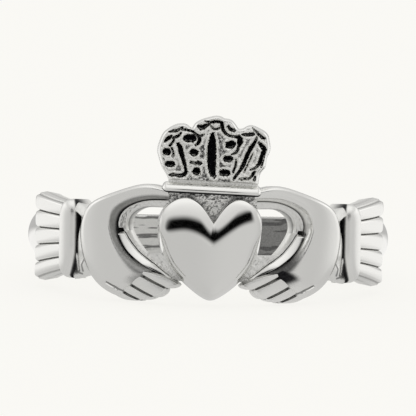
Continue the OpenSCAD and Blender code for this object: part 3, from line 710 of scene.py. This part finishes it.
def make_frill(side):
    """Five flat pleats that fan out side by side from under the cuff, with round ends. Each is
    softly crowned and drops into a narrow pebbled groove at its sides: the drop goes with the
    eighth power of the way from its middle. Past their outer edges the outermost two slope off."""
    u = to_the_end(60)[:, None]
    high = mix(FRILL_ROOT_H, FRILL_END_H, u)
    end = np.maximum(0, (u - 0.86) / 0.14)
    w = (1 - np.minimum(end, 0.9999) ** 2.6) ** (1 / 2.4)
    s = mix(FRILL_S, FRILL_END_S, u)
    swing = np.sin(np.linspace(-1, 1, 37) * math.pi / 2)
    for k in range(PLEATS):
        outwards = 1 if k else -1
        bank = np.linspace(0, 1, 11)[1:] if k in (0, PLEATS - 1) else np.zeros(0)
        f = outwards * np.concatenate([swing, np.ones(len(bank))])[None]
        slope = np.concatenate([np.zeros(len(swing)), bank])[None]
        to_bank = (slope == 0) & (len(bank) > 0) & (outwards * f > 0)
        # In pleat heights from a pleat's middle: an outermost one is flat out to 0.415 and
        # slopes off from there to 0.585, and all the other sides end at 0.5.
        reach = np.where(to_bank, 0.415, 0.5 + 0.085 * slope)
        middle = high * (0.5 - (k + 0.5) / PLEATS)
        z = middle - f * reach * high / PLEATS * w - FRILL_DROP
        crowned = FRILL_T - 0.05 * f ** 2 - 0.20 * np.abs(f) ** 8
        t = np.maximum(mix(FRILL_GROOVE_T, crowned, mix(w, 1, 0.15)) - 0.40 * slope, 0.7)
        groove = 0.45 * smooth((np.abs(f) - 0.87) / 0.05) * (slope == 0)
        black = strongest(groove, 0.15 * (slope > 0), 0.50 * smooth((u - 0.965) / 0.02))
        slab(f"pleat_{k + 1}", on_ring(s, z, t), grain=0.2 + 0.8 * (black > 0.1), black=black,
             side=side, tuck=0.05)


# Crown
def crown_edge(rays):
    """The crown's outline on evenly turned rays from the hub: a smooth curve through
    CROWN_OUTLINE, and a straight foot."""
    way = CROWN_OUTLINE - CROWN_HUB
    angle = np.unwrap(np.arctan2(way[:, 0], way[:, 1]))
    turn = np.linspace(angle[0], angle[0] + 2 * math.pi, rays, endpoint=False)
    k = np.interp(turn, angle, np.arange(len(angle)))
    foot = turn > angle[-1]
    slant = -CROWN_HUB[1] / np.where(foot, np.cos(turn), 1.0)
    return np.where(foot[:, None], np.stack([slant * np.sin(turn), 0 * turn], -1), spline(CROWN_OUTLINE, k))


def make_crown():
    """A plate whose points lie on rays from a hub to the outline. Its border rounds off outwards
    with the square of the way. The field within is pebbled and CROWN_CUTS are sunk into it,
    each with a raised lip beside it, a ridge that falls straight off to both sides. The foot
    strip is lower and rough. Cuts are black inside and have a thin black line past the lip."""
    edge = crown_edge(880)
    share = np.concatenate([1 - 0.12 * np.linspace(0, 1, 22)[:-1] ** 1.2, np.linspace(0.88, 0.02, 84)])
    x, z = (CROWN_HUB + (edge - CROWN_HUB) * share[:, None, None]).transpose(2, 0, 1)
    around = np.stack([edge, np.roll(edge, -1, 0)], 1)[edge[:, 1] > 0.3]
    chain = [[(*p, 0.0), (*q, 0.0)] for p, q in around[::4]]
    inward = np.abs(from_strokes(x, z, chain))
    strokes = [spline(cut, np.arange(4 * len(cut) - 3) / 4) for cut in CROWN_CUTS]
    # The cuts are 0.02 mm wider to each side than their lines say. Their black, tarnish in the
    # cuts, lies 0.03 mm higher than they do: that shift is painted shade on each cut's
    # downward-facing upper wall, and leaves its upward-facing lower wall bright.
    cuts, shade = (0.88 * from_strokes(x, z - drop, strokes) - 0.018 for drop in (0.0, 0.03))

    border = 1 - smooth((inward - CROWN_BORDER) / 0.05)
    strip = smooth((CROWN_FOOT_H - z) / 0.06)
    pebble = cast_grain(x, z, 51, 0.08)
    rounded = 0.12 - 0.34 * (1 - np.minimum(inward / CROWN_BORDER, 1)) ** 2
    lip = 0.18 * np.maximum(0, 1 - np.sqrt(((cuts - 0.085) / 0.11) ** 2 + 0.04))
    t = CROWN_T + border * rounded + (1 - border) * (0.06 * pebble + lip) - 0.45 * smooth(-cuts / 0.08)
    t = mix(t, CROWN_FOOT_T + 0.05 * pebble, strip)

    grain = strongest((1 - border) * smooth((cuts - 0.17) / 0.03), strip)
    between = grain * (0.15 + 0.6 * smooth((0.1 - pebble) / 0.35))
    past_lip = 0.7 * bell(cuts - 0.20, 0.03) * (1 - border)
    over_strip = 0.4 * bell(z - CROWN_FOOT_H, 0.035) * (1 - border)
    black = strongest(smooth((-0.03 - shade) / 0.06), between, past_lip)
    black = strongest(black * (1 - strip), over_strip)

    px, pz = turned(x, z, CROWN_TURN, CROWN_Z)
    hx, hz = turned(*CROWN_HUB, CROWN_TURN, CROWN_Z)
    behind = [80, 40, 0]
    back = front(px[behind], pz[behind], back_at(pz[behind]))
    plain = np.ones((len(behind), len(edge)))
    rings("crown", np.concatenate([back, front(px, pz, t)]), front(hx, hz, back_at(hz)),
          front(hx, hz, t[-1].mean()), np.concatenate([BACK_GRAIN * plain, grain]),
          np.concatenate([0 * plain, black]))


def make_roll():
    """The plain roll under the crown: a round bar along the finger's curve with round ends. Its
    crest leans down a little, and a black line lies along its foot."""
    r = ROLL_H / 2
    half_l = CROWN_FOOT_W / 2 + r
    u = -np.cos(np.linspace(0, math.pi, 120))[:, None]
    a = np.linspace(0, math.pi, 40)[None]
    end = np.maximum(0, (np.abs(u) * half_l - (half_l - r)) / r)
    w = np.sqrt(1 - np.minimum(end, 0.999) ** 2)
    t = 0.95 + (ROLL_T - 1.0) * mix(w, 1, 0.5) * np.sin(a) ** 0.6 - 0.20 * np.cos(a)
    x = (BORE_R + ROLL_T) * np.sin(u * half_l / FACE_R)
    x, z = turned(x, np.cos(a) * 1.2 * r * w + 0.09, CROWN_TURN, ROLL_Z)
    slab("roll", front(x, z, t), grain=0.1, black=0.95 * smooth((-np.cos(a) - 0.62) / 0.15))


make_band()
make_heart()
make_heart_ground()
make_web()
for side in ("right", "left"):
    make_palm(side)
    make_ledge(side)
    make_fingers(side)
    make_cuff(side)
    make_lining(side)
    make_frill(side)
make_crown()
make_roll()


# Tarnish
def tarnish():
    """Blackens what lies below its surroundings. The head's thickness is laid out as a map of
    length and height, its empty cells take their highest neighbour, and a copy blurred with a
    bell curve is the level that polishing reaches. What lies up to 0.15 mm below that stays
    bright, and from there the black grows evenly to a half at 0.5 mm. The crown has its own
    blacks, and the heart's wall is polished."""
    cell, blur_r = 0.08, 0.28
    low, size = np.array([-15.0, -5.0]), (375, 180)
    high = np.zeros(size)
    spots = []
    for piece, p in pieces:
        s = np.arctan2(p[:, 0], -p[:, 1]) * FACE_R
        t = np.hypot(p[:, 0], p[:, 1]) - BORE_R
        i, j = np.clip(((np.stack([s, p[:, 2]], -1) - low) / cell).astype(int), 0, np.array(size) - 1).T
        spots.append((piece, i, j, t))
        np.maximum.at(high, (i, j), t)
    grown = high.copy()
    for across in (-1, 0, 1):
        for up in (-1, 0, 1):
            grown = np.maximum(grown, np.roll(high, (across, up), (0, 1)))
    high = np.where(high > 0, high, grown)
    mask = (high > 0).astype(float)
    kernel = bell(np.arange(-9, 10) * cell, blur_r)
    kernel /= kernel.sum()
    for axis in (0, 1):
        high, mask = (np.apply_along_axis(np.convolve, axis, v, kernel, "same") for v in (high, mask))
    level = high / np.maximum(mask, 1e-6)
    for piece, i, j, t in spots:
        if piece.name in ("crown", "heart"):
            continue
        deep = np.clip((level[i, j] - t - 0.15) / 0.7, 0, 0.5) * (t > 0.4)
        values = piece.data.attributes["black"].data
        black = np.zeros(len(t), np.float32)
        values.foreach_get("value", black)
        values.foreach_set("value", np.maximum(black, deep).astype(np.float32))


tarnish()


# Materials
MATH, RANGE, MIX = "ShaderNodeMath", "ShaderNodeMapRange", "ShaderNodeMix"
TIMES, PLUS = {"operation": "MULTIPLY"}, {"operation": "ADD"}
SMOOTHLY = {"interpolation_type": "SMOOTHSTEP"}
NUMBERS, COLOURS = {"data_type": "FLOAT"}, {"data_type": "RGBA"}
PER_MM = 1000.0                     # object coordinates are in metres


def linear(text):
    """sRGB hex to linear light."""
    c = np.array([int(text[k:k + 2], 16) for k in (0, 2, 4)]) / 255
    return (*np.where(c <= 0.04045, c / 12.92, ((c + 0.055) / 1.055) ** 2.4), 1.0)


def add(tree, kind, settings=None, **links):
    """Adds a node and gives its outputs. settings are its properties, links its sockets, by name
    or as i and a number: a value, or another node's output."""
    node = tree.nodes.new(kind)
    for key, value in (settings or {}).items():
        setattr(node, key, value)
    for key, value in links.items():
        socket = node.inputs[int(key[1:]) if key[1:].isdigit() else key.replace("_", " ")]
        if isinstance(value, bpy.types.NodeSocket):
            tree.links.new(value, socket)
        else:
            socket.default_value = value
    return node.outputs


def new_material(name):
    """A material with nothing in its node tree yet, and that tree."""
    material = bpy.data.materials.new(name)
    material.use_nodes = True
    material.node_tree.nodes.clear()
    return material, material.node_tree


def sterling_silver():
    """Cast sterling silver, tumbled and buffed: near-mirror on what the wheel reaches, satin on
    pebbled ground, and blackened with liver of sulphur where it lies low. The same black also
    carries painted shade in a few places. Its roughness is 0.07 where it is polished, 0.33 on
    pebbled ground and 0.5 where it is black. The black's edge wanders in clouds, 9 to the
    millimetre, and the ground is pitted, 16 pits to the millimetre: both are coarser than on
    real silver, so that they show."""
    material, tree = new_material("sterling_silver_oxidised")
    where = add(tree, "ShaderNodeTexCoord")["Object"]
    # black: tarnish, and painted shade in a few places.
    deep = add(tree, "ShaderNodeAttribute", {"attribute_name": "black"})["Fac"]
    grain = add(tree, "ShaderNodeAttribute", {"attribute_name": "grain"})["Fac"]
    cloud = add(tree, "ShaderNodeTexNoise", Vector=where, Scale=9 * PER_MM, Detail=3.0)["Fac"]
    spread = add(tree, MATH, {"operation": "MULTIPLY_ADD"}, i0=cloud, i1=0.16, i2=-0.08)[0]
    level = add(tree, MATH, PLUS, i0=deep, i1=spread)[0]
    black = add(tree, RANGE, SMOOTHLY, Value=level, From_Min=0.04, From_Max=0.96)[0]
    colour = add(tree, MIX, COLOURS, i0=black, i6=linear("F6F6F4"), i7=linear("17171A"))[2]
    rough = add(tree, MATH, {"operation": "MULTIPLY_ADD"}, i0=grain, i1=0.26, i2=0.07)[0]
    rough = add(tree, MIX, NUMBERS, i0=black, i2=rough, i3=0.5)[0]
    pits = add(tree, "ShaderNodeTexNoise", Vector=where, Scale=16 * PER_MM, Detail=2.0)["Fac"]
    depth = add(tree, MATH, TIMES, i0=pits, i1=grain)[0]
    bump = add(tree, "ShaderNodeBump", Height=depth, Strength=0.35, Distance=0.03 / PER_MM)[0]
    shader = add(tree, "ShaderNodeBsdfPrincipled", Base_Color=colour, Roughness=rough,
                 Metallic=1.0, Normal=bump)[0]
    add(tree, "ShaderNodeOutputMaterial", Surface=shader)
    return material


silver = sterling_silver()
for piece, _ in pieces:
    piece.data.materials.append(silver)
    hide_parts("ring")
    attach(piece, "root")


# Table, light and camera
def tent_wall(tree, way):
    """How bright the tent's wall is towards a direction, with the angle from the front and the
    direction's parts. It is grey in front, a little brighter just right of the middle, brighter
    again from 64 degrees round, white from 108 to 132, and mid grey behind."""
    xyz = add(tree, "ShaderNodeSeparateXYZ", Vector=way)
    frontwards = add(tree, MATH, TIMES, i0=xyz[1], i1=-1.0)[0]
    turn = add(tree, MATH, {"operation": "ARCTAN2"}, i0=xyz[0], i1=frontwards)[0]
    around = add(tree, MATH, {"operation": "ABSOLUTE"}, i0=turn)[0]
    facing, beside = (add(tree, RANGE, SMOOTHLY, Value=xyz[0], From_Min=-0.05, From_Max=0.08,
                          To_Min=left, To_Max=right)[0] for left, right in ((0.567, 0.62), (0.68, 0.80)))
    far_right = add(tree, RANGE, SMOOTHLY, Value=xyz[0], From_Min=0.35, From_Max=0.85)[0]
    wall = add(tree, MIX, NUMBERS, i0=far_right, i2=facing, i3=0.56)[0]
    for begin, end, bright in ((64, 86, beside), (82, 108, 0.93), (132, 152, 0.50)):
        reached = add(tree, RANGE, SMOOTHLY, Value=around, From_Min=math.radians(begin),
                      From_Max=math.radians(end))[0]
        wall = add(tree, MIX, NUMBERS, i0=reached, i2=wall, i3=bright)[0]
    return wall, around, xyz


def make_table():
    """A plain white table under the ring. It glows, as paper lit from below does, so the ring's
    shadow on it stays faint. In the silver it looks as grey as the tent's wall behind that part
    of it, and darker straight below the ring."""
    low, half = cad_box[0][2], 1.5
    corners = [(-half, -half, low), (half, -half, low), (half, half, low), (-half, half, low)]
    mesh = bpy.data.meshes.new("table")
    mesh.from_pydata(corners, [], [(0, 1, 2, 3)])
    table = bpy.data.objects.new("table", mesh)
    bpy.context.scene.collection.objects.link(table)

    material, tree = new_material("white_paper_lit_from_below")
    where = add(tree, "ShaderNodeTexCoord")["Object"]
    way = add(tree, "ShaderNodeVectorMath", {"operation": "NORMALIZE"}, i0=where)[0]
    wall, _, xyz = tent_wall(tree, way)
    down = add(tree, MATH, TIMES, i0=xyz[2], i1=-1.0)[0]
    under = add(tree, RANGE, SMOOTHLY, Value=down, From_Min=0.25, From_Max=0.8, To_Min=1.0, To_Max=0.35)[0]
    mirrored = add(tree, MATH, TIMES, i0=wall, i1=under)[0]
    paper = add(tree, "ShaderNodeBsdfDiffuse", Color=linear("F8F7F3"))[0]
    glow = add(tree, "ShaderNodeEmission", Color=linear("FAF9F5"), Strength=1.0)[0]
    plain = add(tree, "ShaderNodeMixShader", i0=0.88, i1=paper, i2=glow)[0]
    grey = add(tree, "ShaderNodeEmission", Color=linear("FFFEFC"), Strength=mirrored)[0]
    in_mirror = add(tree, "ShaderNodeLightPath")["Is Glossy Ray"]
    both = add(tree, "ShaderNodeMixShader", i0=in_mirror, i1=plain, i2=grey)[0]
    add(tree, "ShaderNodeOutputMaterial", Surface=both)
    table.data.materials.append(material)


def make_world():
    """A light tent: its wall, which brightens upwards at the sides, and a white roof over it.
    Between 13 and 46 degrees up in front there is a dark gap, which shows as a dark wing on the
    heart. Only the silver sees all this: the table gets even white light."""
    world = bpy.data.worlds.new("light_tent")
    bpy.context.scene.world = world
    world.use_nodes = True
    tree = world.node_tree
    tree.nodes.clear()
    way = add(tree, "ShaderNodeTexCoord")["Generated"]
    wall, around, xyz = tent_wall(tree, way)
    height = add(tree, MATH, {"operation": "ARCSINE"}, i0=xyz[2])[0]

    # Smooth changes: of what, between which angles in degrees, and between which values.
    changes = [
        (height, 8, 35, 0.0, 0.22), (around, 44, 70, 0.0, 1.0), (height, 28, 42, 0.0, 1.0),
        (height, 36, 75, 0.64, 0.96), (height, 13, 24, 0.0, 1.0), (height, 34, 46, 1.0, 0.0),
        (around, 16, 28, 1.0, 0.0),
    ]
    upwards, sideways, over, roof, gap_foot, gap_top, gap_sides = (
        add(tree, RANGE, SMOOTHLY, Value=value, From_Min=math.radians(begin),
            From_Max=math.radians(end), To_Min=start, To_Max=stop)[0]
        for value, begin, end, start, stop in changes)
    lift = add(tree, MATH, TIMES, i0=upwards, i1=sideways)[0]
    wall = add(tree, MATH, PLUS, i0=wall, i1=lift)[0]
    tent = add(tree, MIX, NUMBERS, i0=over, i2=wall, i3=roof)[0]
    high_gap = add(tree, MATH, TIMES, i0=gap_foot, i1=gap_top)[0]
    gap = add(tree, MATH, TIMES, i0=high_gap, i1=gap_sides)[0]
    seen = add(tree, MIX, NUMBERS, i0=gap, i2=tent, i3=0.0)[0]
    in_mirror = add(tree, "ShaderNodeLightPath")["Is Glossy Ray"]
    shown = add(tree, MIX, NUMBERS, i0=in_mirror, i2=1.0, i3=seen)[0]
    back = add(tree, "ShaderNodeBackground", Color=linear("FFFEFC"), Strength=shown)[0]
    add(tree, "ShaderNodeOutputWorld", Surface=back)


def make_camera():
    """In front of the ring, level with the finger hole's plane, and turned by the degree or so
    that the ring is off square. It is aimed so that the ring's middle lies where it does in the
    photograph, and the photograph's width at the head gives its lens."""
    yaw, roll = math.radians(1.0), math.radians(1.1)
    c, s = math.cos(yaw), math.sin(yaw)
    up = np.array([-math.sin(roll) * c, math.sin(roll) * s, math.cos(roll)])
    right = np.array([math.cos(roll) * c, -math.cos(roll) * s, math.sin(roll)])
    ahead = np.array([s, c, 0]) * HEAD_AWAY
    ahead += (up * RING_PX_DOWN - right * RING_PX_RIGHT) / HEAD_PX_PER_MM
    ahead /= np.linalg.norm(ahead)
    right = np.cross(ahead, up)
    right /= np.linalg.norm(right)
    up = np.cross(right, ahead)
    where = placed(-CAMERA_AWAY * np.array([s, c, 0]))
    axes = placed(np.stack([right, up, -ahead])) * 1000
    data = bpy.data.cameras.new("camera")
    data.sensor_width = 36.0
    data.lens = data.sensor_width * HEAD_AWAY / (PHOTO_PX / HEAD_PX_PER_MM)
    camera = bpy.data.objects.new("camera", data)
    bpy.context.scene.collection.objects.link(camera)
    camera.matrix_world = Matrix([[*axes[:, k], where[k]] for k in range(3)] + [[0, 0, 0, 1]])
    bpy.context.scene.camera = camera


make_table()
make_world()
make_camera()
bpy.context.scene.view_settings.view_transform = "Standard"
